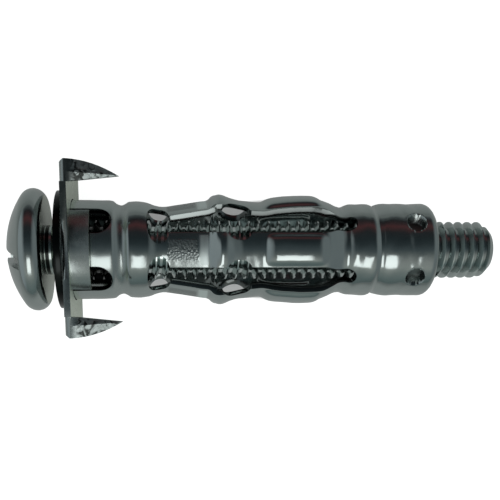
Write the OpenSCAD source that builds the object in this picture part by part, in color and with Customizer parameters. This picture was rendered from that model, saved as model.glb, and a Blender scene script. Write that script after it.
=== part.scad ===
// Hollow wall anchor: a machine screw, a slotted sheet sleeve whose legs fold,
// a claw plate that grips the face of the wall, and a round nut in the nose.
// X runs along the screw from its head to its tip. The face of the claw plate
// that lies on the wall is at X = 0, and the claws are on the +Z side.

/* [Thread] */
// Major diameter of the thread
thread_d = 5.8; // [4.8:0.1:7]
// Radial room between the thread and the nut's bore
thread_clear = 0.05; // [0.02:0.01:0.1]

/* [Screw] */
// Length of the tip that stands out of the sleeve
tip_out = 6.54; // [2:0.02:18]
// Diameter of the head
head_d = 11.8; // [9.8:0.1:14.2]
// Height of the head
head_h = 3.76; // [3.1:0.02:4.6]
// Radius of the rounding around the head's edge
head_edge_r = 1.2; // [0.9:0.1:1.5]
// Gap between the head and the sleeve's rim before the screw is tightened
head_gap = 1.2; // [0.4:0.1:6]
// Width of the slot and of the cross's wings
recess_w = 1.2; // [0.9:0.1:1.5]
// Depth of the slot below the crown
slot_depth = 1.3; // [0.9:0.1:1.6]
// Radius that the cross's wings reach at the crown
cross_r = 2.9; // [2.2:0.1:3.4]
// Depth of the cross below the crown
cross_depth = 2.3; // [1.8:0.1:2.8]
// Turn of the slot about the screw
slot_turn = 13; // [0:1:180]
// Width of the relief groove under the head
relief_w = 0.6; // [0.4:0.1:1]
// Depth of the relief groove
relief_depth = 0.5; // [0.3:0.1:0.6]
// Chamfer on the screw's tip
tip_chamfer = 0.85; // [0.4:0.05:1.2]

/* [Sleeve] */
// Thickness of the sleeve's sheet
wall = 0.6; // [0.5:0.05:0.75]
// Radial room between the thread and the plain tube
screw_room = 1.1; // [0.9:0.05:1.4]
// Rise of the neck above the plain tube
neck_rise = 0.22; // [0.1:0.02:0.4]
// Width of the rim flange beyond the neck
rim_w = 0.88; // [0.7:0.02:1.2]
// Gap between the rim flange and the claw plate
rim_gap = 0.2; // [0:0.05:0.4]
// Radius of the bend between the tube and the rim
rim_bend_r = 0.2; // [0.1:0.05:0.4]
// Length from the wall's face to the slots
neck_len = 7.06; // [6.8:0.02:8.6]
// Length from the slots' start to the knuckle
first_run = 6.87; // [5.8:0.01:8.4]
// Length from the knuckle to the bulge
mid_run = 8.93; // [7.4:0.01:10.8]
// Length from the bulge to the slots' end
last_run = 4.69; // [4:0.01:5.8]
// Length from the slots' end to the end of the nose
nose_len = 8.31; // [8:0.01:10]
// Number of legs
leg_count = 5; // [4:1:6]
// Half the width of a leg
leg_half_w = 1.67; // [1.4:0.01:2]
// Rise of the knuckle above the tube
knuckle_rise = 0.81; // [0.4:0.01:1.2]
// Rise of the bulge above the tube
bulge_rise = 0.79; // [0.4:0.01:1.2]
// Depth of the grooves and waists
groove_depth = 0.28; // [0.15:0.01:0.35]
// Rise of the nose towards its rounded end
nose_rise = 0.16; // [0:0.01:0.25]

/* [Sleeve details] */
// Half the width of a keyhole, along the tube's round
key_half_w = 1.95; // [1.6:0.05:2.1]
// Half the length of the keyhole at the slots' start, along the tube
key_half_len = 1.1; // [0.9:0.05:1.3]
// Half the length of the keyhole behind the knuckle, along the tube
knee_half_len = 1.5; // [1.2:0.05:1.6]
// Half the width of the rib pressed into each leg
rib_half_w = 0.7; // [0.5:0.05:0.9]
// Height of the rib above the leg
rib_rise = 0.25; // [0.15:0.05:0.35]
// Width of the windows beside the claw plate, one in line with each slot
window_w = 2.8; // [2.3:0.1:3.2]
// Length from the wall's face to the windows' rounded ends
window_len = 3.8; // [3.2:0.1:4.2]
// Distance from the windows' ends to the bead around the neck
bead_gap = 0.87; // [0.7:0.01:1]
// Radius of the dimples that hold the nut
dimple_r = 0.98; // [0.8:0.01:1.05]

/* [Claw plate] */
// Thickness of the claw plate
plate_t = 0.6; // [0.5:0.05:0.75]
// Width of the plate beyond the neck, on the claws' sides
side_w = 2.88; // [2.4:0.02:3.6]
// Width of the plate beyond the neck, on the skirts' sides
edge_w = 0.92; // [0.8:0.02:1.2]
// Radial room between the plate and the sleeve
plate_clear = 0.1; // [0.05:0.01:0.2]
// Length of the two skirts beside the sleeve
skirt_len = 1.84; // [1.2:0.02:2.4]
// Half the width of a skirt
skirt_half_w = 3.65; // [3:0.05:4]
// Length of a claw beyond the wall's face
claw_len = 4.7; // [3.8:0.1:5.8]
// Width of a claw at its root
claw_w = 2; // [1.8:0.1:2.4]
// Width of the part of a claw's root that stands out past the plate's side
claw_out = 0.4; // [0.2:0.1:0.6]
// Distance that a claw's tip is set in from its root's inner edge
claw_set = 0.5; // [0.2:0.1:0.9]

/* [Nut] */
// Length of the nut
nut_len = 4.2; // [3.8:0.1:4.6]
// Radial room between the nut and the sleeve
nut_clear = 0.03; // [0.02:0.01:0.06]

/* [Hidden] */
$fn = 96;
eps = 0.01;

// The sleeve's radii and stations along X
tube_r = thread_d / 2 + screw_room + wall;
neck_r = tube_r + neck_rise;
rim_r = neck_r + rim_w;
rim_edge = 0.15;
rim_x = -plate_t - rim_gap - wall;
head_x = rim_x - head_gap;
knuckle_x = neck_len + first_run;
bulge_x = knuckle_x + mid_run;
slot_end_x = bulge_x + last_run;
sleeve_end_x = slot_end_x + nose_len;
bead_x = window_len + bead_gap;
bead_half = 0.95;
groove_run = 2.25;
groove_x = slot_end_x + groove_run;
// Where each waist lies, as a share of its run
waist_share = [0.25, 0.41, 0.71];
waist_x = [
    neck_len + waist_share[0] * first_run,
    knuckle_x + waist_share[1] * mid_run,
    bulge_x + waist_share[2] * last_run,
];
knee_key_share = 0.2;
key_x = [neck_len + key_half_len, knuckle_x + knee_key_share * mid_run];
key_len = [key_half_len, knee_half_len];
end_round_r = 0.9;
lip_r = thread_d / 2 + 0.4;
dimple_back = 2.36;
dimple_x = sleeve_end_x - dimple_back;
dimple_floor_r = thread_d / 2 + 0.7;
nut_end_x = sleeve_end_x - wall - 0.06;
tip_x = sleeve_end_x + tip_out;
// The plate's outline
plate_w = 2 * (neck_r + side_w);
plate_h = 2 * (neck_r + edge_w);

// A smooth run between two stations, and the whole outline that they make
steps = 4;
function ease(a, b, t) = a + (b - a) * (1 - cos(180 * t)) / 2;
function run(p, q) = [
    for (i = [1 : steps])
        [p[0] + (q[0] - p[0]) * i / steps, ease(p[1], q[1], i / steps)]
];
function outline(stations) = [
    stations[0],
    for (i = [0 : len(stations) - 2]) each run(stations[i], stations[i + 1])
];
// An arc about [x, r] from angle a0 to a1, measured from +X towards +R
function arc(x, r, radius, a0, a1, n) = [
    for (i = [0 : n])
        let (a = a0 + (a1 - a0) * i / n) [x + radius * cos(a), r + radius * sin(a)]
];
function inset(points, by) = [for (p = points) [p[0], p[1] - by]];

// Stations of the sheet's outer face, as [x, r]
neck_stations = [
    [rim_x + wall + rim_bend_r, neck_r],
    [bead_x - 1.8 * bead_half, neck_r - 0.02],
    [bead_x - bead_half, tube_r],
    [bead_x, tube_r - groove_depth],
    [bead_x + bead_half, tube_r + 0.12],
    [neck_len, tube_r + 0.03],
];
leg_stations = [
    [waist_x[0], tube_r - groove_depth - 0.09],
    [knuckle_x - 0.85, tube_r + 0.43 * knuckle_rise],
    [knuckle_x, tube_r + knuckle_rise],
    [waist_x[1], tube_r + 0.14],
    [bulge_x, tube_r + bulge_rise],
    [waist_x[2], tube_r - groove_depth],
    [slot_end_x, tube_r + 0.03],
];
nose_stations = [
    [groove_x - bead_half, tube_r],
    [groove_x, tube_r - groove_depth],
    [groove_x + bead_half, tube_r],
    [groove_x + 2 * bead_half, tube_r],
    [sleeve_end_x - end_round_r, tube_r + nose_rise],
];
sheet = outline(concat(neck_stations, leg_stations, nose_stations));

// Puts a revolved outline's axis on X, and a cutter's direction out along an angle
module lathe(points) {
    rotate([0, 90, 0]) rotate_extrude() polygon([for (p = points) [p[1], p[0]]]);
}
module around(count, start) {
    for (i = [0 : count - 1]) rotate([start + i * 360 / count, 0, 0]) children();
}

// The solid inside the sheet's outer face, with the rim flange
module sheet_outside() {
    bend = arc(rim_x + wall + rim_bend_r, neck_r + rim_bend_r, rim_bend_r, 180, 270, 4);
    nose_r = tube_r + nose_rise - end_round_r;
    nose = arc(sleeve_end_x - end_round_r, nose_r, end_round_r, 90, 10, 5);
    lathe(concat(
        [[rim_x, 0], [rim_x, rim_r - rim_edge], [rim_x + rim_edge, rim_r]],
        [[rim_x + wall, rim_r]], bend, sheet, nose,
        [[sleeve_end_x, lip_r], [sleeve_end_x, 0]]
    ));
}

// The space inside the sheet, from the flared mouth to the hole in the nose
module sheet_inside() {
    flare_r = rim_bend_r + wall;
    mouth = arc(rim_x + flare_r, neck_r - wall + flare_r, flare_r, 180, 270, 5);
    lathe(concat(
        [[rim_x - 1, 0], [rim_x - 1, neck_r - wall + flare_r]], mouth,
        inset(sheet, wall),
        [[sleeve_end_x - wall, tube_r + nose_rise - wall], [sleeve_end_x - wall, lip_r]],
        [[sleeve_end_x + 1, lip_r], [sleeve_end_x + 1, 0]]
    ));
}

// A radial cutter with rounded ends: half_w around the tube, half_len along it
module pill(x, half_w, half_len, z0, z1) {
    translate([x, 0, z0]) {
        for (side = [-1, 1])
            translate([0, side * (half_w - half_len), 0]) cylinder(r = half_len, h = z1 - z0);
        translate([-half_len, -(half_w - half_len), 0])
            cube([2 * half_len, 2 * (half_w - half_len), z1 - z0]);
    }
}

// The gap between two legs, which leaves each leg the same width all along
module slot() {
    half_angle = 180 / leg_count;
    apex_r = leg_half_w / sin(half_angle);
    reach = 5;
    round_r = tan(half_angle) * (tube_r - apex_r);
    translate([key_x[0], 0, 0]) rotate([90, 0, 90])
        linear_extrude(slot_end_x - round_r - key_x[0]) polygon([
            [0, apex_r],
            [reach * tan(half_angle), apex_r + reach],
            [-reach * tan(half_angle), apex_r + reach],
        ]);
    translate([slot_end_x - round_r, 0, thread_d / 2]) cylinder(r = round_r, h = reach);
    for (i = [0, 1])
        pill(key_x[i], key_half_w, key_len[i], thread_d / 2, thread_d / 2 + reach);
}

// The rib's round form, of the given radius, along the rising flank of the bulge
module rib(radius) {
    rib_axis = rib_press_r() - rib_rise;
    a = [waist_x[1] + 1.9, tube_r + 0.45 * bulge_rise - rib_axis];
    b = [bulge_x + 0.3, tube_r + bulge_rise - rib_axis];
    span = norm(b - a);
    slope = atan2(b[1] - a[1], b[0] - a[0]);
    translate([a[0], 0, a[1]]) rotate([0, 90 - slope, 0]) {
        sphere(radius);
        cylinder(r = radius, h = span);
        translate([0, 0, span]) sphere(radius);
    }
}
function rib_press_r() = (rib_half_w * rib_half_w + rib_rise * rib_rise) / (2 * rib_rise);

// A window between two of the tabs that carry the rim
module window() {
    x0 = -plate_t;
    tip_r = window_w / 2;
    translate([x0, -tip_r, thread_d / 2]) cube([window_len - tip_r - x0, window_w, 4]);
    translate([window_len - tip_r, 0, thread_d / 2]) cylinder(r = tip_r, h = 4);
}

module sleeve() {
    slot_start = 180 / leg_count;
    color("#8b9698") difference() {
        union() {
            difference() {
                union() {
                    sheet_outside();
                    around(leg_count, 0) rib(rib_press_r());
                }
                sheet_inside();
            }
            // The pressed-in cups of the dimples
            around(leg_count, slot_start)
                translate([dimple_x, 0, dimple_floor_r])
                    cylinder(r = dimple_r + 0.25, h = tube_r - 0.2 - dimple_floor_r);
        }
        around(leg_count, 0) rib(rib_press_r() - wall);
        around(leg_count, slot_start) slot();
        around(leg_count, slot_start)
            translate([dimple_x, 0, dimple_floor_r + 0.2]) cylinder(r = dimple_r, h = 2);
        around(leg_count, slot_start) window();
    }
}

module screw() {
    crown_x = head_x - head_h;
    edge_r = head_edge_r;
    edge_x = head_x - 0.9 * edge_r;
    edge_c = head_d / 2 - edge_r;
    // The dome's sphere touches the edge's rounding from outside
    rise = edge_x - crown_x;
    dome_r = (edge_c * edge_c + rise * rise - edge_r * edge_r) / (2 * (rise - edge_r));
    touch = atan2(edge_c, dome_r - rise);
    shank_r = thread_d / 2;
    relief_r = shank_r - relief_depth;
    under = asin((head_x - edge_x) / edge_r);
    color("#98a1a3") difference() {
        lathe(concat(
            arc(crown_x + dome_r, 0, dome_r, 180, 180 - touch, 8),
            arc(edge_x, edge_c, edge_r, 180 - touch, 90 - under, 7),
            [[head_x, relief_r], [head_x + relief_w, relief_r]],
            [[head_x + relief_w + relief_depth, shank_r]],
            [[tip_x - tip_chamfer, shank_r], [tip_x, shank_r - tip_chamfer], [tip_x, 0]]
        ));
        rotate([slot_turn, 0, 0]) {
            slot_cutter(crown_x);
            cross_cutter(crown_x);
        }
    }
}

// The straight slot, whose floor drops away at both ends to the head's edge
module slot_cutter(crown_x) {
    floor_x = crown_x + slot_depth;
    far = head_d / 2 + 1;
    drop_z = head_d / 2 - head_edge_r;
    translate([0, recess_w / 2, 0]) rotate([90, 0, 0]) linear_extrude(recess_w) polygon([
        [crown_x - 1, -far],
        [floor_x + 0.5, -far],
        [floor_x + 0.5, -drop_z - 0.4],
        [floor_x, -drop_z + 0.4],
        [floor_x, drop_z - 0.4],
        [floor_x + 0.5, drop_z + 0.4],
        [floor_x + 0.5, far],
        [crown_x - 1, far],
    ]);
}

// The cross: two crossed wings that narrow towards its bottom
module cross_cutter(crown_x) {
    bottom_r = 0.45 * cross_r;
    for (turn = [0, 90]) rotate([turn, 0, 0])
        translate([0, recess_w / 2, 0]) rotate([90, 0, 0]) linear_extrude(recess_w) polygon([
            [crown_x - 1, -cross_r],
            [crown_x + 0.2, -cross_r],
            [crown_x + cross_depth, -bottom_r],
            [crown_x + cross_depth, bottom_r],
            [crown_x + 0.2, cross_r],
            [crown_x - 1, cross_r],
        ]);
}

// One claw: a strip bent at a right angle off the plate, cut to a curved point
module claw() {
    root_out = plate_w / 2 + claw_out;
    root_in = root_out - claw_w;
    tip_y = root_in + claw_set;
    bend_r = plate_t;
    edge_z = plate_h / 2;
    // The curved outer edge runs out to the tip with its belly near the root
    belly = [
        for (i = [0 : 8])
            let (t = i / 8) [claw_len * t, tip_y + (root_out - tip_y) * (1 - pow(t, 1.9))]
    ];
    intersection() {
        translate([0, 0, edge_z - 3]) linear_extrude(3) polygon(concat(
            [[-plate_t, root_in], [-plate_t, root_out - 0.3], [-0.2, root_out]], belly,
            [[0, root_in]]
        ));
        translate([0, root_out + 1, 0]) rotate([90, 0, 0]) linear_extrude(claw_w + 2)
            difference() {
                union() {
                    translate([-plate_t, edge_z - 3]) square([plate_t, 3 - bend_r]);
                    translate([0, edge_z - plate_t]) square([claw_len, plate_t]);
                    intersection() {
                        translate([0, edge_z - bend_r]) circle(bend_r);
                        translate([-plate_t, edge_z - bend_r]) square([plate_t, bend_r]);
                    }
                }
            }
    }
}

// One skirt: a short curved wall turned down beside the sleeve
module skirt() {
    inner_r = neck_r + plate_clear + 0.05;
    intersection() {
        lathe([
            [-plate_t, inner_r],
            [skirt_len, inner_r],
            [skirt_len, inner_r + plate_t],
            [-plate_t, inner_r + plate_t],
        ]);
        translate([-plate_t, -skirt_half_w, 0]) cube([skirt_len + plate_t, 2 * skirt_half_w, plate_h]);
    }
}

module claw_plate() {
    hole_r = neck_r + plate_clear;
    root_in = plate_w / 2 + claw_out - claw_w;
    // The cut at each skirt's root: its floor, and its half width there and at the edge
    notch_z = hole_r + 0.25;
    notch_in = 1.35;
    notch_out = 2.6;
    color("#939d9c") union() {
        difference() {
            union() {
                translate([-plate_t, -plate_w / 2, -plate_h / 2])
                    cube([plate_t, plate_w, plate_h - plate_t]);
                translate([-plate_t, -root_in, plate_h / 2 - plate_t - eps])
                    cube([plate_t, 2 * root_in, plate_t + eps]);
            }
            translate([-plate_t - 1, 0, 0]) rotate([0, 90, 0]) cylinder(r = hole_r, h = plate_t + 2);
            // The gathered sheet at the root of each skirt
            around(2, 0) translate([-plate_t - 1, 0, 0]) rotate([90, 0, 90])
                linear_extrude(plate_t + 0.9) polygon([
                    [-notch_in, notch_z],
                    [notch_in, notch_z],
                    [notch_out, plate_h / 2],
                    [notch_out, plate_h / 2 + 1],
                    [-notch_out, plate_h / 2 + 1],
                    [-notch_out, plate_h / 2],
                ]);
        }
        around(2, 0) difference() {
            skirt();
            translate([-plate_t - eps, -skirt_half_w, 0])
                cube([plate_t - 0.1 + eps, 2 * skirt_half_w, plate_h]);
        }
        claw();
        mirror([0, 1, 0]) claw();
    }
}

module nut() {
    outer_r = tube_r - wall - nut_clear;
    bore_r = thread_d / 2 + thread_clear;
    groove_r = dimple_floor_r - nut_clear;
    groove_half = dimple_r + 0.35;
    edge = 0.3;
    x0 = nut_end_x - nut_len;
    color("#7f8a8c") lathe([
        [x0, bore_r + edge / 2],
        [x0, outer_r - edge],
        [x0 + edge, outer_r],
        [dimple_x - groove_half, outer_r],
        [dimple_x - groove_half, groove_r],
        [dimple_x + groove_half, groove_r],
        [dimple_x + groove_half, outer_r],
        [nut_end_x - edge, outer_r],
        [nut_end_x, outer_r - edge],
        [nut_end_x, bore_r + edge / 2],
        [nut_end_x - edge / 2, bore_r],
        [x0 + edge / 2, bore_r],
    ]);
}

screw();
sleeve();
claw_plate();
nut();
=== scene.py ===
import math

import bpy
import bmesh
import numpy as np
from mathutils import Matrix, Vector


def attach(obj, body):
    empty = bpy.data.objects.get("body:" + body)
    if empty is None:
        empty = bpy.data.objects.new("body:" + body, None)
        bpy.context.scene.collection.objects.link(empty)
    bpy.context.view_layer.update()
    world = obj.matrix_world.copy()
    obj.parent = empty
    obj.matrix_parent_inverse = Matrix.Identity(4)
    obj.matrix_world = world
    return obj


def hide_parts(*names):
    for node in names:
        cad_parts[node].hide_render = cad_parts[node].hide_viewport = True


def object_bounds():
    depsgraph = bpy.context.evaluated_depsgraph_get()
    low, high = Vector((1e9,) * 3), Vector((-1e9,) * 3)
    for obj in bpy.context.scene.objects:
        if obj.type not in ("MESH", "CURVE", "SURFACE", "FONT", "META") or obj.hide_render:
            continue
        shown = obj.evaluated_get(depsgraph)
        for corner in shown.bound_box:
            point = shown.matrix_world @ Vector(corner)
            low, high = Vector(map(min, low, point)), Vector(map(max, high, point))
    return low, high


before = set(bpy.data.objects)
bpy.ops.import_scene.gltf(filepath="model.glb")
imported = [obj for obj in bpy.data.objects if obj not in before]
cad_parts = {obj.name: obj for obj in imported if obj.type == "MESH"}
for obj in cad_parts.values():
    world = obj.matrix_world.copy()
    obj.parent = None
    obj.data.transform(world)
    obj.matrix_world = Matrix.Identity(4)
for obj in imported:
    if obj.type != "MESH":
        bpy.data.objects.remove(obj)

cad_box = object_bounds()


# ---------------------------------------------------------------------------------------
# The studio. A pale table top a little below the anchor, a white room with a dark flag
# overhead, one soft lamp beside it, and the camera that looks down on the anchor.

MM = 0.001
FLOOR_REACH = 3.0
FLOOR_DROP = 0.3
# The board's colour is lighter in a pool round POOL_CENTRE and darker beyond it: a painted pool of
# light
BOARD_LIT = (0.60, 0.63, 0.62, 1)
BOARD_DIM = (0.285, 0.315, 0.308, 1)
POOL_CENTRE = (0.017, -0.016, 0.0)
POOL_EDGE = (0.012, 0.080)
CAMERA_GLOW = 0.88
METAL_GLOW = 0.09
# A painted shadow: the strip of low glow under the legs, in metres: half its width where X
# is 0, how that grows with X, and its middle and half its length
UNDER_GLOW = 0.15
UNDER_EDGE = (0.0034, 0.0038)
UNDER_SPREAD = 0.087
UNDER_MIDDLE = 0.0125
UNDER_END = (0.0056, 0.0090)

scene = bpy.context.scene
scene.view_settings.view_transform = "Standard"


class Nodes:
    """A node tree, with short ways to add to it. A value is a constant or a socket."""

    def __init__(self, tree):
        self.tree = tree
        tree.nodes.clear()

    def add(self, kind, **settings):
        """A new node, with its settings."""
        node = self.tree.nodes.new(kind)
        for name, value in settings.items():
            setattr(node, name, value)
        return node

    def feed(self, value, socket):
        """Links a socket to the value, or sets it."""
        if isinstance(value, bpy.types.NodeSocket):
            self.tree.links.new(value, socket)
        else:
            socket.default_value = value

    def coords(self, kind):
        """Where a point is, or which way it faces."""
        return self.add("ShaderNodeTexCoord").outputs[kind]

    def parts(self, vector):
        """A vector's X, Y and Z."""
        node = self.add("ShaderNodeSeparateXYZ")
        self.feed(vector, node.inputs[0])
        return node.outputs

    def math(self, operation, *values):
        """A Math node's result."""
        node = self.add("ShaderNodeMath", operation=operation)
        for value, socket in zip(values, node.inputs):
            self.feed(value, socket)
        return node.outputs[0]

    def ramp(self, value, start, end, top=1.0, step="SMOOTHSTEP"):
        """0 where value is start and top where it is end, with a smooth or a straight step."""
        node = self.add("ShaderNodeMapRange", interpolation_type=step)
        for key, given in (("Value", value), ("From Min", start), ("From Max", end), ("To Max", top)):
            self.feed(given, node.inputs[key])
        return node.outputs["Result"]

    def noise(self, place, scale, detail, distortion=0.0):
        """Clouds of values about one half."""
        node = self.add("ShaderNodeTexNoise")
        given = (("Vector", place), ("Scale", scale), ("Detail", detail), ("Distortion", distortion))
        for key, value in given:
            self.feed(value, node.inputs[key])
        return node.outputs["Fac"]

    def mixed(self, share, below, above):
        """The colour below where share is 0 and the colour above where it is 1."""
        node = self.add("ShaderNodeMix", data_type="RGBA")
        for key, given in (("Factor", share), ("A", below), ("B", above)):
            self.feed(given, node.inputs[key])
        return node.outputs["Result"]


def nodes_of(owner):
    """The emptied node tree of a material or of a world."""
    owner.use_nodes = True
    return Nodes(owner.node_tree)


def floor_material():
    """Pale matt board with a painted pool of the lamp's light in its colour, round one point.
    It takes the anchor's shadow, and a glow that only the camera and metal see keeps it
    white beside the anchor. Under the legs, where their keyholes show the board, the glow is
    low, in a strip that widens with X: a painted shadow."""
    mat = bpy.data.materials.new("table_board")
    nodes = nodes_of(mat)
    place = nodes.coords("Object")
    away = nodes.add("ShaderNodeVectorMath", operation="DISTANCE")
    nodes.feed(place, away.inputs[0])
    nodes.feed(POOL_CENTRE, away.inputs[1])
    pool = nodes.ramp(away.outputs["Value"], *POOL_EDGE, step="LINEAR")
    board = nodes.add("ShaderNodeBsdfDiffuse")
    nodes.feed(nodes.mixed(pool, BOARD_LIT, BOARD_DIM), board.inputs["Color"])
    x, y, _ = nodes.parts(place)
    # The glow is low in a strip under the legs that widens with X: a painted shadow on the board
    aside = nodes.math("MULTIPLY_ADD", x, -UNDER_SPREAD, nodes.math("ABSOLUTE", y))
    along = nodes.math("ABSOLUTE", nodes.math("SUBTRACT", x, UNDER_MIDDLE))
    bare = nodes.math("MAXIMUM", nodes.ramp(aside, *UNDER_EDGE), nodes.ramp(along, *UNDER_END))
    bare = nodes.math("MULTIPLY_ADD", bare, CAMERA_GLOW - UNDER_GLOW, UNDER_GLOW)
    path = nodes.add("ShaderNodeLightPath").outputs
    to_metal = nodes.math("MULTIPLY", path["Is Glossy Ray"], METAL_GLOW)
    glow = nodes.add("ShaderNodeEmission")
    strength = nodes.math("MULTIPLY_ADD", path["Is Camera Ray"], bare, to_metal)
    nodes.feed(strength, glow.inputs["Strength"])
    both = nodes.add("ShaderNodeAddShader")
    nodes.feed(board.outputs[0], both.inputs[0])
    nodes.feed(glow.outputs[0], both.inputs[1])
    nodes.feed(both.outputs[0], nodes.add("ShaderNodeOutputMaterial").inputs["Surface"])
    return mat


corners = [(-1, -1), (1, -1), (1, 1), (-1, 1)]
floor_mesh = bpy.data.meshes.new("table_top")
floor_mesh.from_pydata([(x * FLOOR_REACH, y * FLOOR_REACH, 0) for x, y in corners], [], [(0, 1, 2, 3)])
floor_mesh.materials.append(floor_material())
floor = bpy.data.objects.new("table_top", floor_mesh)
floor.location.z = cad_box[0].z - FLOOR_DROP * MM
scene.collection.objects.link(floor)

# The room: white to the camera. Metal sees tones that change with the angle from straight
# overhead, here in degrees towards +Y: a grey wall at -90, the lamp's surround, then a dark
# flag with a warm lining. Beyond the flag's two ends, along X, the room is plain grey.
ROOM_TONES = [
    (-90, (0.15, 0.195, 0.195)), (-76, (0.21, 0.26, 0.26)), (-60, (0.295, 0.33, 0.32)),
    (-47, (0.44, 0.46, 0.44)), (-30, (0.38, 0.39, 0.38)), (-10, (0.16, 0.18, 0.18)),
    (0, (0.080, 0.102, 0.112)), (14, (0.038, 0.052, 0.058)), (28, (0.024, 0.034, 0.039)),
    (44, (0.029, 0.031, 0.035)), (55, (0.080, 0.037, 0.039)), (61, (0.125, 0.044, 0.047)),
    (67, (0.065, 0.034, 0.037)), (78, (0.021, 0.021, 0.024)), (90, (0.12, 0.135, 0.14)),
]
ROOM_WHITE = (1, 1, 1, 1)
HEAD_SIDE = (0.40, 0.44, 0.46, 1)
TIP_SIDE = (0.24, 0.27, 0.28, 1)
FLAG_END = (0.45, 0.75)
ROOM_FILL = (0.45, 0.45, 0.45, 1)


def room_world():
    """The room's light by direction. The tone's place on the colour ramp is the direction's
    angle about the X axis, and the two ends take over with its X."""
    world = bpy.data.worlds.new("white_room")
    nodes = nodes_of(world)
    x, y, z = nodes.parts(nodes.coords("Generated"))
    tones = nodes.add("ShaderNodeValToRGB")
    angle = nodes.math("ARCTAN2", y, z)
    nodes.feed(nodes.ramp(angle, -math.pi / 2, math.pi / 2, step="LINEAR"), tones.inputs["Fac"])
    stops = tones.color_ramp.elements
    while len(stops) < len(ROOM_TONES):
        stops.new(0.5)
    for stop, (degrees, colour) in zip(stops, ROOM_TONES):
        stop.position = degrees / 180 + 0.5
        stop.color = (*colour, 1)
    head_share = nodes.ramp(x, -FLAG_END[0], -FLAG_END[1], step="LINEAR")
    tip_share = nodes.ramp(x, *FLAG_END, step="LINEAR")
    room = nodes.mixed(head_share, tones.outputs["Color"], HEAD_SIDE)
    room = nodes.mixed(tip_share, room, TIP_SIDE)
    path = nodes.add("ShaderNodeLightPath").outputs
    room = nodes.mixed(path["Is Glossy Ray"], ROOM_FILL, room)
    room = nodes.mixed(path["Is Camera Ray"], room, ROOM_WHITE)
    back = nodes.add("ShaderNodeBackground")
    nodes.feed(room, back.inputs["Color"])
    nodes.feed(back.outputs[0], nodes.add("ShaderNodeOutputWorld").inputs["Surface"])
    return world


scene.world = room_world()

# The lamp hangs beside the flag as a soft square. It faces the anchor from LAMP_TILT_Y off
# the zenith towards -Y, and LAMP_TILT_X towards +X. Its power gives its face the radiance
# LAMP_GLOW.
LAMP_TILT_Y = math.radians(29)
LAMP_TILT_X = math.radians(-0.5)
LAMP_AWAY = 0.5
LAMP_SIDE = 0.26
LAMP_GLOW = 1.72

lamp_data = bpy.data.lights.new("side_lamp", "AREA")
lamp_data.shape = "RECTANGLE"
lamp_data.size = LAMP_SIDE
lamp_data.size_y = LAMP_SIDE
lamp_data.energy = LAMP_GLOW * math.pi * LAMP_SIDE ** 2
lamp = bpy.data.objects.new("side_lamp", lamp_data)
lean = Vector((math.tan(LAMP_TILT_X), -math.tan(LAMP_TILT_Y), 1)).normalized()
lamp.location = (cad_box[0] + cad_box[1]) / 2 + lean * LAMP_AWAY
lamp.rotation_euler = lean.to_track_quat("Z", "Y").to_euler()
lamp.visible_camera = False
scene.collection.objects.link(lamp)

# The camera stands over the screw's head end and looks a little towards the nose. It is
# pitched past the anchor, and the frame is shifted back onto it. FOCAL_SHARE is the focal
# length as a share of the frame's width, before the pitch.
CAMERA_PLACE = Vector((7.74, 0.0, 75.1)) * MM
CAMERA_AIM = Vector((17.39, 0.0, 0.0)) * MM
CAMERA_PITCH = math.radians(9.2)
FOCAL_SHARE = 1.4922
SENSOR = 36.0

camera_data = bpy.data.cameras.new("camera")
camera_data.sensor_width = SENSOR
camera_data.lens = SENSOR * FOCAL_SHARE * math.cos(CAMERA_PITCH)
camera_data.shift_y = FOCAL_SHARE * math.sin(CAMERA_PITCH)
camera_data.clip_start = 1 * MM
camera = bpy.data.objects.new("camera", camera_data)
ahead = (CAMERA_AIM - CAMERA_PLACE).normalized()
up = Vector((0, 1, 0))
look = ahead * math.cos(CAMERA_PITCH) - up * math.sin(CAMERA_PITCH)
lift = ahead * math.sin(CAMERA_PITCH) + up * math.cos(CAMERA_PITCH)
camera.matrix_world = Matrix((look.cross(lift), lift, -look)).transposed().to_4x4()
camera.location = CAMERA_PLACE
scene.collection.objects.link(camera)
scene.camera = camera


# ---------------------------------------------------------------------------------------
# The sleeve. One tube of thin zinc-plated steel sheet: a rim flange, a neck with five
# windows, a groove, five ribbed legs that fold at the knuckle and the bulge, and a nose
# with five dimples, rolled in at the end. It is drawn and pierced from one blank.

SHEET = 0.6
RIM_R = 5.70
RIM_FACE_X = -0.8
RIM_BEND = 0.2
NECK_R = 4.82
LIP_R = 3.3
NOSE_ROUND = 0.9
NOSE_END_X = 35.86
LEGS = 5
LEG_HALF_W = 1.67
SLOT_START_X = 7.06
SLOT_END_X = 27.55
SLOT_END_ROUND = 0.8
SLOT_TAPER_X = (24.2, 26.4)
# Each keyhole's centre, half its length and half its width
KEYHOLES = ((8.16, 1.1, 2.0), (15.74, 1.5, 2.1))
KEY_POWER = 2.6
WINDOW_X = (-0.6, 3.8)
WINDOW_HALF_W = 1.4

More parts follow.
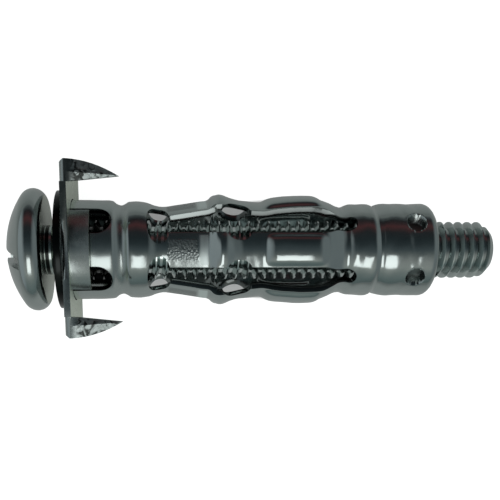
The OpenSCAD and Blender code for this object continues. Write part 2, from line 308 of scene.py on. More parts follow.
# Stations [x, radius] of the sheet's outer face, from the neck to the rolled end
SLEEVE_LINE = [
    (-0.6, 4.82), (3.4, 4.80), (3.85, 4.74), (4.25, 4.44), (4.67, 4.32), (5.0, 4.44),
    (5.4, 4.67), (6.2, 4.72), (7.06, 4.62), (7.9, 4.36), (8.78, 4.23), (9.8, 4.36),
    (11.2, 4.58), (12.3, 4.76), (12.95, 4.84), (13.15, 4.96), (13.45, 5.25), (13.7, 5.36),
    (14.1, 5.40), (14.5, 5.33), (14.9, 5.18), (15.3, 5.05), (15.9, 4.93), (16.9, 4.83),
    (17.6, 4.77), (18.2, 4.735), (18.7, 4.80), (19.4, 4.93), (20.8, 5.07), (22.0, 5.14),
    (23.2, 5.15), (24.2, 5.06), (25.2, 4.74), (26.1, 4.36), (26.55, 4.30), (27.0, 4.46),
    (27.4, 4.57), (28.1, 4.60), (29.0, 4.66), (29.4, 4.62), (29.85, 4.33), (30.2, 4.50),
    (30.6, 4.61), (31.2, 4.685), (31.6, 4.69), (32.4, 4.665), (33.5, 4.68), (34.96, 4.72),
]
RIB_X = 21.35
RIB_HALF_LEN = 3.1
RIB_HALF_W = 1.62
RIB_RISE = 0.3
# Stations [x, height] along the middle of a knuckle: what its dome adds to the line
DOME_LINE = [
    (12.6, 0), (12.85, 0), (12.95, 0.05), (13.2, 0.03), (13.5, -0.08), (13.75, -0.02),
    (14.05, 0.10), (14.3, 0.13), (14.7, 0.14), (15.3, 0.10), (16.2, 0),
]
DOME_HALF_W = 1.6
PAD_X = (8.9, 12.0)
PAD_HALF_W = 1.1
PAD_SINK = 0.015
PAD_SOFT = 0.3
# A strip from the pad's end up to the knuckle: scuffed duller, and painted pale as a highlight
SCUFF_SHEEN_START_X = (11.8, 12.2)
SCUFF_SHEEN_END_X = (12.85, 12.95)
SCUFF_SHEEN_HALF_W = 1.55
SIDE_SOFT = 0.2
GROOVE_X = (3.7, 5.5)
GROOVE_SOFT = 0.5
DIMPLE_X = 33.55
DIMPLE_R = 1.0
DIMPLE_DEPTH = 0.95
DIMPLE_WALL = 0.2
# How dull and how dark these are, beside the plain plating. The cups' darkness is painted
# shade, and the strip's paleness a painted highlight
PAD_DULL = 0.5
PAD_DARK = 0.28
STRIP_PAINTED_SHEEN = 0.8
GROOVE_DULL = 0.4
CUP_DULL = 0.6
CUP_SHADE = 0.6

# Waves that forming leaves: each is its height times two sines, and each sine's angle is
# made of its shares of X and of the turn, and a start
WAVES = [
    (0.014, (1.9, 2, 0), (0.7, -3, 1.1)),
    (0.008, (3.1, 0, 1.3), (0.6, 5, 0)),
    (0.004, (5.3, -4, 0), (1.7, 11, 0)),
]
WAVES_START_X = (0, 2)
WAVES_DOUBLE_X = (25, 27)
WAVES_END_X = (33.5, 34.9)
PAD_CALM = 0.75

# How much painted shade darkens the rim, the neck's inside and the sheared walls, whose outer
# edge gets less than their inner one; then where along X the neck's painted shade ends, and
# where the walls get darker
RIM_SHADE = 0.95
NECK_SHADE = 0.85
NECK_SHADE_X = (6.2, 6.6)
WALL_SHADE = (0.30, 0.55)
WALL_SHADE_MORE = 0.30
WALL_SHADE_X = (11.0, 17.0)

# Rows along the tube: each run's end, its number of rows, and whether they crowd together
# towards its two ends, as they do where an opening is curved
TUBE_START_X = (-0.59, -0.55)
TUBE_RUNS = [
    (2.1, 12, False), (WINDOW_X[1], 11, True), (SLOT_START_X, 24, False), (9.26, 16, True),
    (14.24, 34, False), (17.24, 24, True), (18.4, 6, False), (19.6, 9, False),
    (23.2, 12, False), (24.4, 9, False), (26.4, 14, False), (SLOT_END_X, 12, True),
    (32.4, 22, False), (34.6, 32, False),
]
COLUMNS = 30


def through(stations, x):
    """Height at x of the smooth line through the stations. Its slope at a station is the
    harmonic mean of the slopes on both sides, or nothing at a crest, so it never overshoots."""
    xs, rs = np.array(stations, float).T
    step = np.diff(xs)
    slope = np.diff(rs) / step
    same = slope[:-1] * slope[1:] > 0
    inner = np.where(same, 2 * slope[:-1] * slope[1:] / np.where(same, slope[:-1] + slope[1:], 1), 0)
    m = np.concatenate([[slope[0]], inner, [slope[-1]]])
    i = np.clip(np.searchsorted(xs, x, side="right") - 1, 0, len(step) - 1)
    t = np.clip((x - xs[i]) / step[i], 0, 1)
    h = step[i]
    return (
        rs[i] * (1 + 2 * t) * (1 - t) ** 2 + rs[i + 1] * t * t * (3 - 2 * t)
        + h * m[i] * t * (1 - t) ** 2 - h * m[i + 1] * t * t * (1 - t)
    )


def eased(value, start, end):
    """0 before start and 1 after end. Between them it is three times the square of the share
    of the way, less twice its cube."""
    t = np.clip((value - start) / (end - start), 0, 1)
    return t * t * (3 - 2 * t)


def within(value, start, end, soft):
    """1 from start to end and 0 outside, with a smooth step of width soft inside each end."""
    return eased(value, start, start + soft) * (1 - eased(value, end - soft, end))


def crowded(start, end, count):
    """Places from start to end, closer together towards both ends, as a cosine runs."""
    return start + (end - start) * (1 - np.cos(np.linspace(0, np.pi, count + 1))) / 2


def even(start, end, count):
    """Places from start to end, in count equal steps."""
    return np.linspace(start, end, count + 1)


def opening_half(x, radius):
    """Half the angle that the sheet is open at x, in line with the slots. A window has a
    round end. The legs keep their width until they spread to the slot's round end, and each
    keyhole widens the slot to a rounded oblong, whose shares of its half length and of its
    half width add up to one when both are raised to KEY_POWER."""
    past = np.clip(x - (WINDOW_X[1] - WINDOW_HALF_W), 0, WINDOW_HALF_W)
    window = np.sqrt(WINDOW_HALF_W ** 2 - past ** 2) * ((x > WINDOW_X[0]) & (x < WINDOW_X[1]))
    straight = radius * np.sin(np.pi / LEGS - np.arcsin(LEG_HALF_W / radius))
    past = np.clip(x - (SLOT_END_X - SLOT_END_ROUND), 0, SLOT_END_ROUND)
    end = np.sqrt(SLOT_END_ROUND ** 2 - past ** 2)
    half = straight + (np.minimum(straight, end) - straight) * eased(x, *SLOT_TAPER_X)
    first = KEYHOLES[0][0]
    half = np.where((x > first) & (x < SLOT_END_X), half, 0)
    for centre, half_len, half_w in KEYHOLES:
        t = np.clip(np.abs(x - centre) / half_len, 0, 1)
        half = np.maximum(half, half_w * (1 - t ** KEY_POWER) ** (1 / KEY_POWER))
    return np.arcsin(np.maximum(half, window) / radius)


def sector_grid(x, radius, opening):
    """Rows along the sheet, and columns around it in equal sectors that meet at the middle
    of each opening. Where a row is open, its sectors draw in by the opening's half angle.
    The columns run closer together towards a sector's sides: a column's share of the way is
    five quarters of its even share, less a quarter of that share's cube."""
    centre = 2 * np.pi * np.arange(LEGS) / LEGS
    half = np.pi / LEGS - opening
    share = np.linspace(-1, 1, COLUMNS + 1)
    share = 1.25 * share - 0.25 * share ** 3
    turn = centre[:, None, None] + half[:, None] * share
    return x[:, None] + 0 * turn, radius[:, None] + 0 * turn, turn


def wrapped(turn):
    """The angle brought into -pi to pi."""
    return (turn + np.pi) % (2 * np.pi) - np.pi


def leg_relief(x, radius, turn):
    """What is pressed into the tube: a flat-topped rib on each leg's second run, a dome
    across its knuckle, a grained pad that sinks a little, and round cups for the dimples.
    The rib's height falls as the square of one minus the fifth power of the share of its
    half width and the ninth power of the share of its half length. The dome's height is
    DOME_LINE's, times one minus the square of the share of its half width. With the relief
    come the masks for the plating: the pad's grain, the dullness and the tone, which also
    holds painted shade in the dimples' cups and a painted highlight on the scuffed strip."""
    leg = wrapped(turn * LEGS) / LEGS
    aside = np.abs(leg) * radius
    rib_out = (aside / RIB_HALF_W) ** 5 + (np.abs(x - RIB_X) / RIB_HALF_LEN) ** 9
    rib = np.clip(1 - rib_out, 0, 1) ** 2
    dome = np.clip(1 - (aside / DOME_HALF_W) ** 2, 0, 1) * through(DOME_LINE, x)
    pad = (1 - eased(aside, PAD_HALF_W - SIDE_SOFT, PAD_HALF_W)) * within(x, *PAD_X, PAD_SOFT)
    gap = (np.pi / LEGS - np.abs(leg)) * radius
    away = np.hypot(x - DIMPLE_X, gap)
    cup = 1 - eased(away, DIMPLE_R - DIMPLE_WALL, DIMPLE_R)
    scuff_sheen = 1 - eased(aside, SCUFF_SHEEN_HALF_W - SIDE_SOFT, SCUFF_SHEEN_HALF_W)
    scuff_sheen = scuff_sheen * eased(x, *SCUFF_SHEEN_START_X) * (1 - eased(x, *SCUFF_SHEEN_END_X))
    relief = RIB_RISE * rib + dome - PAD_SINK * pad - DIMPLE_DEPTH * cup
    neck = 0.5 * (1 - eased(x, GROOVE_X[0], GROOVE_X[0] + GROOVE_SOFT))
    groove = np.maximum(within(x, *GROOVE_X, GROOVE_SOFT), neck)
    dull = np.stack([PAD_DULL * pad, scuff_sheen, GROOVE_DULL * groove, CUP_DULL * cup]).max(axis=0)
    # The tone paints a highlight on the strip and shade in the cups, and darkens the pad's grain
    tone = STRIP_PAINTED_SHEEN * scuff_sheen - PAD_DARK * pad - CUP_SHADE * cup
    return relief, np.stack([pad, dull, tone], axis=-1)


def waves(x, turn):
    """The faint waves that forming leaves in the tube. They are lower where the pads are
    pressed, twice as high in the nose, and end at the rim and at the rolled end."""
    high = 0
    for height, first, second in WAVES:
        sines = [np.sin(by_x * x + by_turn * turn + start) for by_x, by_turn, start in (first, second)]
        high = high + height * sines[0] * sines[1]
    pressed = within(x, PAD_X[0] - 1, PAD_X[1] + 1, 1)
    grown = eased(x, *WAVES_START_X) * (1 + eased(x, *WAVES_DOUBLE_X))
    return high * grown * (1 - PAD_CALM * pressed) * (1 - eased(x, *WAVES_END_X))


def quads(index):
    """Quads of a grid of point numbers, row by row."""
    corners = [index[:-1, :-1], index[:-1, 1:], index[1:, 1:], index[1:, :-1]]
    return np.stack(corners, axis=-1).reshape(-1, 4)


def solid_of(name, points, faces, masks=None, weld=0.002):
    """A smooth-shaded object from points in millimetres, with doubled points welded."""
    mesh = bpy.data.meshes.new(name)
    mesh.from_pydata((points * MM).tolist(), [], faces)
    for key, values in (masks or {}).items():
        layer = mesh.attributes.new(key, "FLOAT", "POINT")
        layer.data.foreach_set("value", values.astype(np.float32))
    made = bmesh.new()
    made.from_mesh(mesh)
    bmesh.ops.remove_doubles(made, verts=made.verts, dist=weld * MM)
    bmesh.ops.recalc_face_normals(made, faces=made.faces)
    made.to_mesh(mesh)
    made.free()
    mesh.shade_smooth()
    piece = bpy.data.objects.new(name, mesh)
    scene.collection.objects.link(piece)
    return piece


def sheet_line():
    """Rows of the sheet's outer face: in along the flange, round its bend as a quarter
    circle, along the tube, round the rolled end as another, and in along its face."""
    bend = np.radians(even(180, 270, 5))[1:]
    roll = np.radians(even(90, 0, 9))[1:]
    rows = [TUBE_START_X]
    for end, count, crowds in TUBE_RUNS:
        rows.append((crowded if crowds else even)(rows[-1][-1], end, count)[1:])
    along = np.concatenate([*rows, [NOSE_END_X - NOSE_ROUND]])
    tube_r = through(SLEEVE_LINE, along)
    flange_r = even(RIM_R, NECK_R + RIM_BEND, 5)
    face_r = even(tube_r[-1] - NOSE_ROUND, LIP_R, 4)[1:]
    x = np.concatenate([
        np.full(len(flange_r), RIM_FACE_X), RIM_FACE_X + RIM_BEND + RIM_BEND * np.cos(bend),
        along, along[-1] + NOSE_ROUND * np.cos(roll), np.full(len(face_r), NOSE_END_X),
    ])
    radius = np.concatenate([
        flange_r, NECK_R + RIM_BEND + RIM_BEND * np.sin(bend),
        tube_r, tube_r[-1] - NOSE_ROUND + NOSE_ROUND * np.sin(roll), face_r,
    ])
    return x, radius


def sleeve_sheet():
    """Each sector is a grid on the outer face and one SHEET inside it, closed along its open
    sides and at both ends. A leg's sides stay parallel, because the inner face keeps an
    opening's width as a length and not as an angle."""
    x, radius = sheet_line()
    dx, dr = np.gradient(x), np.gradient(radius)
    size = np.hypot(dx, dr)
    outer_open = opening_half(x, radius)
    inner_open = opening_half(x, radius - SHEET)
    opened = (outer_open[:-1] > 0) | (outer_open[1:] > 0)
    on_rim = (x < RIM_FACE_X + RIM_BEND + 0.1) & (radius > NECK_R + 0.1)
    sides, masks = [], []
    for opening, depth, wall_shade in ((outer_open, 0, WALL_SHADE[0]), (inner_open, SHEET, WALL_SHADE[1])):
        at_x, at_r, turn = sector_grid(x, radius, opening)
        relief, mask = leg_relief(at_x, at_r, turn)
        tone = mask[..., 2]
        # The inner face inside the neck, the openings' walls and the rim are darkened: painted shade
        if depth:
            tone[:] = -NECK_SHADE * (1 - eased(at_x, *NECK_SHADE_X))
        wall = wall_shade + WALL_SHADE_MORE * eased(x, *WALL_SHADE_X)
        wall = np.where(x < WINDOW_X[1], NECK_SHADE, wall)
        cut = opening > 0
        tone[:, cut, 0] = -wall[cut]
        tone[:, cut, -1] = -wall[cut]
        tone[:, on_rim] = -RIM_SHADE
        r = at_r - depth * (dx / size)[:, None] + relief + waves(at_x, turn)
        at_x = at_x + depth * (dr / size)[:, None]
        sides.append(np.stack([at_x, r * np.sin(turn), r * np.cos(turn)], axis=-1))
        masks.append(mask)
    points = np.array(sides)
    number = np.arange(points[..., 0].size).reshape(points.shape[:-1])
    faces = []
    for out, inn in zip(*number):
        faces += [quads(out), quads(inn)]
        faces += [quads(np.stack([out[:, c], inn[:, c]]))[opened] for c in (0, -1)]
        faces += [quads(np.stack([out[r], inn[r]])) for r in (0, -1)]
    return points.reshape(-1, 3), np.concatenate(faces).tolist(), np.array(masks).reshape(-1, 3).T


points, faces, (pad, dull, tone) = sleeve_sheet()
sleeve = solid_of("sleeve_sheet", points, faces, {"pad": pad, "dull": dull, "tone": tone})


def soften(piece, width, angle):
    """Breaks every edge sharper than angle with a small round."""
    mod = piece.modifiers.new("broken_edges", "BEVEL")
    mod.width = width * MM
    mod.segments = 2
    mod.limit_method = "ANGLE"
    mod.angle_limit = math.radians(angle)
    mod.harden_normals = False


soften(sleeve, 0.07, 50)


# The plating, used by every piece: bright zinc over steel, a little blue-green, with faint
# clouds in its tone, fine scratches, and a grain where the sheet was pressed rough.
ZINC = (0.345, 0.390, 0.385, 1)
ZINC_PALE = (0.425, 0.470, 0.455, 1)
ZINC_PAINTED_SHEEN = (0.80, 0.88, 0.74, 1)
ZINC_WORN_AND_SHADE = (0.050, 0.055, 0.052, 1)
SCRATCH_SCALE = 2600
GRAIN_SCALE = 5200
GRAIN_DEPTH = 0.035
DULLEST = 0.3
# A face counts as square to an axis from the first of these to the second
SQUARE = (0.93, 0.98)
MATT_ROUGH = 0.04
# In metres: where the claws start, along X and aside, and where their marks thin out
CLAW_X = (0.0002, 0.0008)
CLAW_Y = (0.0057, 0.0059)
CLAW_ROOT_X = (0.0008, 0.0024)
CLAW_ROUGH = 0.12
MARK_SCALE = 1300
MARK_TWIST = 1.5
MARK_DEPTH = 0.10
MARK_EDGE = (0.44, 0.56)
MARK_THIN = 0.16
# The plate's cut edge gets painted shade towards +Y, from the first place to the second, in metres
EDGE_SHADE = 0.75
EDGE_SHADE_Y = (-0.001, 0.003)
EDGE_SQUARE = (0.85, 0.95)


def film_group():
    """Inputs set the size of the clouds and how much the tone and gloss vary. Outputs are
    the tone, 0 to 1, the roughness, and the height for a Bump node."""
    group = bpy.data.node_groups.new("zinc_film", "ShaderNodeTree")
    for name in ("Cloud Scale", "Gloss", "Gloss Change"):
        group.interface.new_socket(name, in_out="INPUT", socket_type="NodeSocketFloat")
    for name in ("Tone", "Roughness", "Height"):
        group.interface.new_socket(name, in_out="OUTPUT", socket_type="NodeSocketFloat")
    nodes = Nodes(group)
    given = nodes.add("NodeGroupInput").outputs
    made = nodes.add("NodeGroupOutput").inputs
    place = nodes.coords("Object")
    tone = nodes.noise(place, given["Cloud Scale"], 4)
    nodes.feed(tone, made["Tone"])
    rough = nodes.math("MULTIPLY_ADD", tone, given["Gloss Change"], given["Gloss"])
    nodes.feed(rough, made["Roughness"])
    nodes.feed(nodes.noise(place, SCRATCH_SCALE, 3), made["Height"])
    return group


zinc_film = film_group()


def zinc_material(name, gloss, change, bump, cloud=420, pad=False, claws=False, under=0.0):
    """Zinc plate of a given gloss. bump is the depth of its fine waves in millimetres. The
    attribute tone darkens or pales it, with painted shade and painted light among it, and dull
    takes off its gloss. pad adds the legs' grain, claws the marks on the claws and painted shade
    on the plate's cut edge, and under the share by which faces square to +X are matt and
    painted pale, a painted reflection."""
    mat = bpy.data.materials.new(name)
    nodes = nodes_of(mat)

    def bumped(height, depth, normal=None):
        """The normal that a height of 1 gives at depth millimetres, over another normal."""
        node = nodes.add("ShaderNodeBump")
        nodes.feed(depth * MM, node.inputs["Distance"])
        nodes.feed(height, node.inputs["Height"])
        if normal:
            nodes.feed(normal, node.inputs["Normal"])
        return node.outputs["Normal"]

    def attribute(key):
        """What the piece's own points say, or 0 where it has no such attribute."""
        return nodes.add("ShaderNodeAttribute", attribute_name=key).outputs["Fac"]

    place = nodes.coords("Object")
    film = nodes.add("ShaderNodeGroup", node_tree=zinc_film)
    for key, value in (("Cloud Scale", cloud), ("Gloss", gloss), ("Gloss Change", change)):
        nodes.feed(value, film.inputs[key])
    colour = nodes.mixed(film.outputs["Tone"], ZINC, ZINC_PALE)
    rough = nodes.math("MULTIPLY_ADD", attribute("dull"), DULLEST, film.outputs["Roughness"])
    normal = bumped(film.outputs["Height"], bump)
    if pad:
        grain = nodes.add("ShaderNodeTexVoronoi")
        nodes.feed(GRAIN_SCALE, grain.inputs["Scale"])
        nodes.feed(place, grain.inputs["Vector"])
        height = nodes.math("MULTIPLY", grain.outputs["Distance"], attribute("pad"))
        normal = bumped(height, GRAIN_DEPTH, normal)
    # Faces square to +X are made rougher and painted pale: a painted reflection
    if under:
        square = nodes.ramp(nodes.parts(nodes.coords("Normal"))["X"], *SQUARE)
        colour = nodes.mixed(nodes.math("MULTIPLY", square, under), colour, ZINC_PAINTED_SHEEN)
        rough = nodes.math("MULTIPLY_ADD", square, MATT_ROUGH, rough)
    if claws:
        x, y, _ = nodes.parts(place)
        past = nodes.ramp(x, *CLAW_X)
        square = nodes.ramp(nodes.parts(nodes.coords("Normal"))["Z"], *EDGE_SQUARE)
        edge = nodes.math("MULTIPLY", square, nodes.math("SUBTRACT", 1, past))
        # The cut edge is painted darker towards +Y: painted shade. The claws' marks below are wear
        edge_shade = nodes.math("MULTIPLY", edge, nodes.ramp(y, *EDGE_SHADE_Y, top=EDGE_SHADE))
        colour = nodes.mixed(edge_shade, colour, ZINC_WORN_AND_SHADE)
        claw = nodes.math("MULTIPLY", nodes.ramp(nodes.math("ABSOLUTE", y), *CLAW_Y), past)
        marks = nodes.noise(place, MARK_SCALE, 5, MARK_TWIST)
        root = nodes.math("SUBTRACT", 1, nodes.ramp(x, *CLAW_ROOT_X, top=MARK_THIN))
        black = nodes.ramp(nodes.math("MULTIPLY", marks, root), *MARK_EDGE)
        colour = nodes.mixed(nodes.math("MULTIPLY", claw, black), colour, ZINC_WORN_AND_SHADE)
        rough = nodes.math("MULTIPLY_ADD", claw, CLAW_ROUGH, rough)
        normal = bumped(nodes.math("MULTIPLY", marks, claw), MARK_DEPTH, normal)
    scaled = nodes.add("ShaderNodeVectorMath", operation="SCALE")
    nodes.feed(colour, scaled.inputs[0])
    nodes.feed(nodes.math("ADD", attribute("tone"), 1), scaled.inputs["Scale"])
    metal = nodes.add("ShaderNodeBsdfPrincipled")
    metal.inputs["Metallic"].default_value = 1
    for key, value in (("Base Color", scaled.outputs[0]), ("Roughness", rough), ("Normal", normal)):
        nodes.feed(value, metal.inputs[key])
    nodes.feed(metal.outputs[0], nodes.add("ShaderNodeOutputMaterial").inputs["Surface"])
    return mat


sleeve.data.materials.append(zinc_material("sleeve_zinc", 0.08, 0.12, 0.004, pad=True))
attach(sleeve, "anchor")
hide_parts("sleeve")


# ---------------------------------------------------------------------------------------
# The nut. A turned steel ring, threaded right through, that the nose's dimples hold. It
# keeps its turned shape and gets its plating.

nut_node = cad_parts["nut"]
nut_node.data.materials.clear()
nut_node.data.materials.append(zinc_material("nut_zinc", 0.2, 0.1, 0.003))


# ---------------------------------------------------------------------------------------
# The claw plate. Sheet steel pressed to an oblong with a hole for the neck, two skirts
# turned down beside it and two claws that bite into the wall.

PLATE_FRONT_X = -0.6
SKIRT_BEND = 0.45
SKIRT_LEAN = 0.22
# Half the width of the cut at a skirt's root, half the skirt's own width, the Z that both
# lie past, and the Y that the claws lie past
SKIRT_CUT_Y = 2.75
SKIRT_SIDE_Y = 3.9
SKIRT_Z = 5.1
CLAW_SIDE_Y = 5.9
# A claw is folded lengthwise, so that its two halves fall away from a ridge to the tip
CLAW_TIP_X = 4.7
FOLD_ROOT_Y = 6.95
FOLD_TIP_Y = 6.64
FOLD_OUT = math.radians(12)
FOLD_IN = math.radians(18)
FOLD_STEPS = (0.25, 0.5, 0.75, 1.0)
# A face with more corners than this runs round the neck's hole
MOST_CORNERS = 40

plate = bpy.data.objects.new("claw_plate_sheet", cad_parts["claw_plate"].data.copy())
scene.collection.objects.link(plate)
stamped = bmesh.new()
stamped.from_mesh(plate.data)
bmesh.ops.remove_doubles(stamped, verts=stamped.verts, dist=0.001 * MM)
bmesh.ops.dissolve_limit(stamped, angle_limit=math.radians(1), verts=stamped.verts, edges=stamped.edges)
# Cut into triangles, the faces round the hole leave it open
around = [f for f in stamped.faces if len(f.verts) > MOST_CORNERS]
bmesh.ops.triangulate(stamped, faces=around)


def spot(vert):
    """A point's X, and how far aside it lies along Y and along Z, in millimetres."""
    x, y, z = vert.co / MM
    return x, abs(y), abs(z)


def at_root(vert):
    """Whether a point is on the plate's front, inside the cut at a skirt's root."""
    x, aside, out = spot(vert)
    return x < PLATE_FRONT_X + 0.01 and aside < SKIRT_CUT_Y and out > SKIRT_Z


# The sheet turns into each skirt with a bend, which shows in the cut at the skirt's root
bends = [e for e in stamped.edges if at_root(e.verts[0]) and at_root(e.verts[1])]
bmesh.ops.bevel(
    stamped, geom=bends, offset=SKIRT_BEND * MM, offset_type="OFFSET", segments=4, profile=0.5,
    affect="EDGES", clamp_overlap=True,
)
# Past the bend the skirts lean outwards
for vert in stamped.verts:
    x, aside, out = spot(vert)
    past = x - (PLATE_FRONT_X + SKIRT_BEND)
    if aside < SKIRT_SIDE_Y and (x > 0.05 or past > -0.01 and out > SKIRT_Z):
        vert.co.z += math.copysign(SKIRT_LEAN * past * MM, vert.co.z)


def claw_points(side):
    """The points of the claw on the side of +Y or of -Y, with those of its root."""
    return [v for v in stamped.verts if v.co.x > -0.01 * MM and v.co.y * side > CLAW_SIDE_Y * MM]


# Each claw is cut into strips across and along its ridge. Then its points drop by their
# way from the ridge times the fold's slope, which grows over the steps from the root
for side in (-1, 1):
    cuts = [((x * MM, 0, 0), (1, 0, 0)) for x in FOLD_STEPS]
    root = Vector((0, side * FOLD_ROOT_Y, 0)) * MM
    ridge = Vector((CLAW_TIP_X, side * FOLD_TIP_Y, 0)) * MM - root
    cuts.append((root, ridge.cross(Vector((0, 0, 1)))))
    for place, normal in cuts:
        claw = claw_points(side)
        faces = {f for v in claw for f in v.link_faces}
        edges = {e for f in faces for e in f.edges}
        bmesh.ops.bisect_plane(
            stamped, geom=[*claw, *edges, *faces], plane_co=place, plane_no=normal, dist=1e-7
        )
    for vert in claw_points(side):
        x, aside, out = spot(vert)
        past = aside - FOLD_ROOT_Y - (FOLD_TIP_Y - FOLD_ROOT_Y) * x / CLAW_TIP_X
        slope = math.tan(FOLD_OUT if past > 0 else FOLD_IN)
        vert.co.z -= abs(past) * slope * min(max(x / FOLD_STEPS[-1], 0), 1) * MM
bmesh.ops.dissolve_degenerate(stamped, edges=stamped.edges, dist=0.0005 * MM)
stamped.to_mesh(plate.data)
stamped.free()
plate.data.shade_smooth()
plate.data.set_sharp_from_angle(angle=math.radians(35))
soften(plate, 0.09, 40)
plate.data.materials.clear()
plate_zinc = zinc_material("plate_zinc", 0.16, 0.2, 0.008, cloud=900, claws=True, under=1.0)
plate.data.materials.append(plate_zinc)
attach(plate, "anchor")
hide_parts("claw_plate")


# ---------------------------------------------------------------------------------------
# The screw. A pan-head machine screw with a slot and a cross in its head, headed from
# wire, with a rolled thread right up to a short relief under the head.

THREAD_R = 2.9
PITCH = 1.0
THREAD_DEPTH = 0.613
CREST_FLAT = 0.125
ROOT_ROUND = 0.25
HEAD_X = -2.6
CROWN_X = -6.36
HEAD_R = 5.9
# The head's edge is a round of radius HEAD_EDGE, whose middle lies HEAD_EDGE_END times that
# radius before the underside
HEAD_EDGE = 1.2
HEAD_EDGE_END = 0.9
RELIEF_R = 2.4
RELIEF_W = 0.6
TIP_X = 42.4
TIP_CHAMFER = 0.85
RECESS_W = 1.2
SLOT_DEPTH = 1.3
# The slot's floor falls by the first at the head's edge, over twice the second
SLOT_FALL = 0.5
SLOT_FALL_HALF = 0.4
CROSS_R = 2.9
CROSS_DEPTH = 2.3
CROSS_WALL = 0.2
CROSS_FLOOR = 0.45
SLOT_TURN = 13
TURN_COLUMNS = 96
# Painted shade darkens the root of the head, the thread's start, all of it inside the neck,
# and the bottom of its grooves past the nose. Past the neck the thread is painted paler than
# the head, as painted light
ROOT_SHADE_X = (-2.58, -2.2)
SHADED_X = (-1.6, 6.6)
SCREW_SHADE = 0.96
THREAD_PAINTED_LIGHT = 0.4
GROOVE_SHADE_X = (33, 35)
GROOVE_SHADE = 0.45


def round_ring(x, radius, turn):
    """Points of rings about the screw's axis: x and radius for each row, turn for each column."""
    return np.stack([x, radius * np.sin(turn), radius * np.cos(turn)], axis=-1)


def screw_head():
    """The head and the relief under it, turned from one outline: a dome, an edge round that
    the dome runs into, a flat underside and a short neck, capped inside the thread. The
    dome's radius is the one at which it touches the edge round from inside."""
    edge_x = HEAD_X - HEAD_EDGE_END * HEAD_EDGE
    edge_c = HEAD_R - HEAD_EDGE
    rise = edge_x - CROWN_X
    dome_r = (edge_c ** 2 + rise ** 2 - HEAD_EDGE ** 2) / (2 * (rise - HEAD_EDGE))
    touch = math.atan2(edge_c, dome_r - rise)
    last = math.pi / 2 - math.asin(HEAD_EDGE_END)
    dome = even(0, touch, 26)
    edge = even(math.pi - touch, last, 20)[1:]
    face = even(edge_c + HEAD_EDGE * math.sin(last), RELIEF_R, 12)[1:]
    neck = even(HEAD_X, HEAD_X + RELIEF_W, 10)[1:]
    x = np.concatenate([
        CROWN_X + dome_r * (1 - np.cos(dome)), edge_x + HEAD_EDGE * np.cos(edge),
        np.full(len(face), HEAD_X), neck, [HEAD_X + RELIEF_W],
    ])
    radius = np.concatenate([
        dome_r * np.sin(dome), edge_c + HEAD_EDGE * np.sin(edge), face,
        np.full(len(neck), RELIEF_R), [0.0],
    ])
    turn = even(0, 2 * np.pi, TURN_COLUMNS)
    grid = round_ring(x[:, None] + 0 * turn, radius[:, None] + 0 * turn, 0 * x[:, None] + turn)
    return grid.reshape(-1, 3), quads(np.arange(grid[..., 0].size).reshape(len(x), -1)).tolist()


def slab(outline, turn_deg):
    """A slab through the screw's axis, as wide as the recess: an outline in x and height,
    turned about the axis."""
    half_w = RECESS_W / 2
    sides = [[(x, w, height) for x, height in outline] for w in (-half_w, half_w)]
    x, y, z = np.array(sides, float).reshape(-1, 3).T
    c, s = math.cos(math.radians(turn_deg)), math.sin(math.radians(turn_deg))
    n = len(outline)
    rims = [(i, (i + 1) % n, n + (i + 1) % n, n + i) for i in range(n)]
    ends = [tuple(range(n)), tuple(range(2 * n - 1, n - 1, -1))]
    return np.stack([x, c * y - s * z, s * y + c * z], axis=-1), ends + rims


above = CROWN_X - 1
far = HEAD_R + 1
floor_x = CROWN_X + SLOT_DEPTH
low_x = floor_x + SLOT_FALL
bottom_x = CROWN_X + CROSS_DEPTH
fall = HEAD_R - HEAD_EDGE
slot_half = [
    (floor_x, fall - SLOT_FALL_HALF), (low_x, fall + SLOT_FALL_HALF), (low_x, far), (above, far),
]
wing_half = [
    (bottom_x, CROSS_FLOOR * CROSS_R), (CROWN_X + CROSS_WALL, CROSS_R), (above, CROSS_R),
]


def both_halves(half):
    """The outline on both sides of the axis, from half of it."""
    return [(x, -height) for x, height in reversed(half)] + half


head = solid_of("head_blank", *screw_head())
tools = [solid_of("slot_tool", *slab(both_halves(slot_half), SLOT_TURN))]
tools += [
    solid_of(f"wing_tool_{turn}", *slab(both_halves(wing_half), turn + SLOT_TURN)) for turn in (0, 90)
]
for tool in tools:
    cut = head.modifiers.new(tool.name, "BOOLEAN")
    cut.operation = "DIFFERENCE"
    cut.object = tool
    cut.solver = "EXACT"
soften(head, 0.1, 35)
cut_head = head.evaluated_get(bpy.context.evaluated_depsgraph_get())
head_mesh = bpy.data.meshes.new_from_object(cut_head)
for spare in [head, *tools]:
    bpy.data.objects.remove(spare)


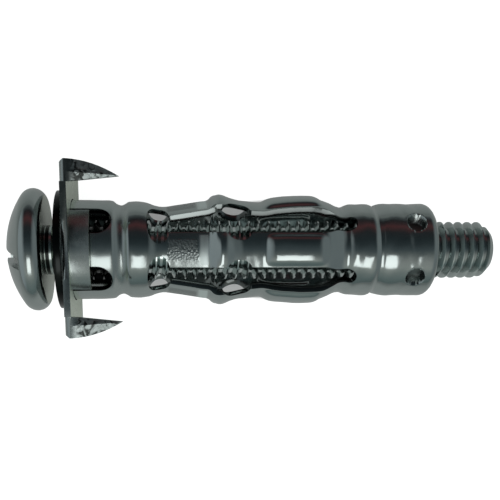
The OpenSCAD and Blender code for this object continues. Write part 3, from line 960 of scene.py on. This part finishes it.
def screw_thread():
    """The thread as one grid whose rows climb with the helix: x is the pitch times the
    row's share plus the turn. A row's depth grows evenly down a flank, from the crest's flat
    to the root's round. Rows past either end are held there, where they weld."""
    start, end = HEAD_X + RELIEF_W, TIP_X
    crest, root = CREST_FLAT / 2, 0.5 - ROOT_ROUND / 2
    share = np.array([0, crest, 0.2, root, 0.5, 1 - root, 0.8, 1 - crest])
    slope = THREAD_DEPTH / (root - crest)
    depth = np.clip((np.minimum(share, 1 - share) - crest) * slope, 0, THREAD_DEPTH)
    turns = int(math.ceil((end - start) / PITCH)) + 1
    row_share = (np.arange(-1, turns)[:, None] + share).ravel()
    row_r = THREAD_R - np.tile(depth, turns + 1)
    turn = even(0, 2 * np.pi, TURN_COLUMNS)
    x = start + PITCH * (row_share[:, None] + turn / (2 * np.pi))
    runout = RELIEF_R + np.clip(x - start, 0, None)
    chamfer = THREAD_R - np.clip(x - (end - TIP_CHAMFER), 0, None)
    radius = np.minimum(np.minimum(row_r[:, None], runout), chamfer)
    radius = np.where(x <= start, RELIEF_R, np.where(x >= end, THREAD_R - TIP_CHAMFER, radius))
    grid = round_ring(np.clip(x, start, end), radius, turn + 0 * x)
    tip = round_ring(end + 0 * turn, 0 * turn, turn)
    points = np.concatenate([grid.reshape(-1, 3), tip])
    return points, quads(np.arange(len(points)).reshape(-1, len(turn))).tolist()


# The head and the thread meet at the relief's end, where both lose their caps
screw = solid_of("screw_body", *screw_thread(), weld=0.001)
joined = bmesh.new()
joined.from_mesh(screw.data)
joined.from_mesh(head_mesh)
bmesh.ops.remove_doubles(joined, verts=joined.verts, dist=0.001 * MM)
seam_x = (HEAD_X + RELIEF_W) * MM
inside = [
    f for f in joined.faces
    if len(f.verts) <= 4 and abs(f.calc_center_median().x - seam_x) < 1e-7
]
bmesh.ops.delete(joined, geom=inside, context="FACES")
bmesh.ops.dissolve_degenerate(joined, edges=joined.edges, dist=0.0005 * MM)
joined.to_mesh(screw.data)
joined.free()
screw.data.shade_smooth()
screw.data.set_sharp_from_angle(angle=math.radians(40))

places = np.empty(3 * len(screw.data.vertices))
screw.data.vertices.foreach_get("co", places)
x, y, z = places.reshape(-1, 3).T / MM
# Painted shade where the head and the neck hide the thread and in its grooves towards the tip; painted
# light on the rest of the thread past the neck
shaded = (x > SHADED_X[0]) & (x < SHADED_X[1]) | (x > ROOT_SHADE_X[0]) & (x < ROOT_SHADE_X[1])
low = np.clip((THREAD_R - np.hypot(y, z)) / THREAD_DEPTH, 0, 1)
tone = np.where(x > SHADED_X[1], THREAD_PAINTED_LIGHT - GROOVE_SHADE * low * eased(x, *GROOVE_SHADE_X), 0)
tone = np.where(shaded, -SCREW_SHADE, tone)
screw.data.attributes.new("tone", "FLOAT", "POINT").data.foreach_set("value", tone.astype(np.float32))
screw.data.materials.append(zinc_material("screw_zinc", 0.09, 0.12, 0.004, under=0.9))
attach(screw, "screw")
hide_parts("screw")
